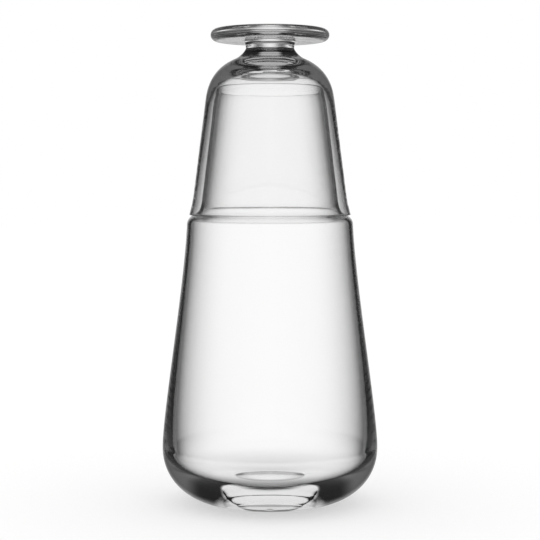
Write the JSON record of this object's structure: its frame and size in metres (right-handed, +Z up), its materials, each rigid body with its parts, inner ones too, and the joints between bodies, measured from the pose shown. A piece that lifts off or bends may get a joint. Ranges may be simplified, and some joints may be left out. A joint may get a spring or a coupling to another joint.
{
  "type": "bedside carafe with tumbler",
  "caption": "Clear glass water carafe with a flaring neck and a footed tumbler that stands upside down over it as a cover.",
  "frame": {"origin": "centre of the carafe's base, on the table it stands on", "axes": "+Z up along the axis that both pieces are turned about; X and Y are level and any way round, because the object is round"},
  "size_m": [0.1138, 0.1138, 0.2497],
  "materials": {
    "carafe_glass": "clear colourless blown glass, fire polished",
    "tumbler_glass": "clear colourless blown glass, fire polished"
  },
  "bodies": {
    "carafe_body": {"carafe": "carafe_glass"},
    "tumbler_body": {"tumbler": "tumbler_glass"}
  },
  "joints": [
    {"name": "tumbler_lift", "type": "slide", "parent": "carafe_body", "child": "tumbler_body", "axis": [0, 0, 1], "range_m": [0, 0.11]}
  ]
}
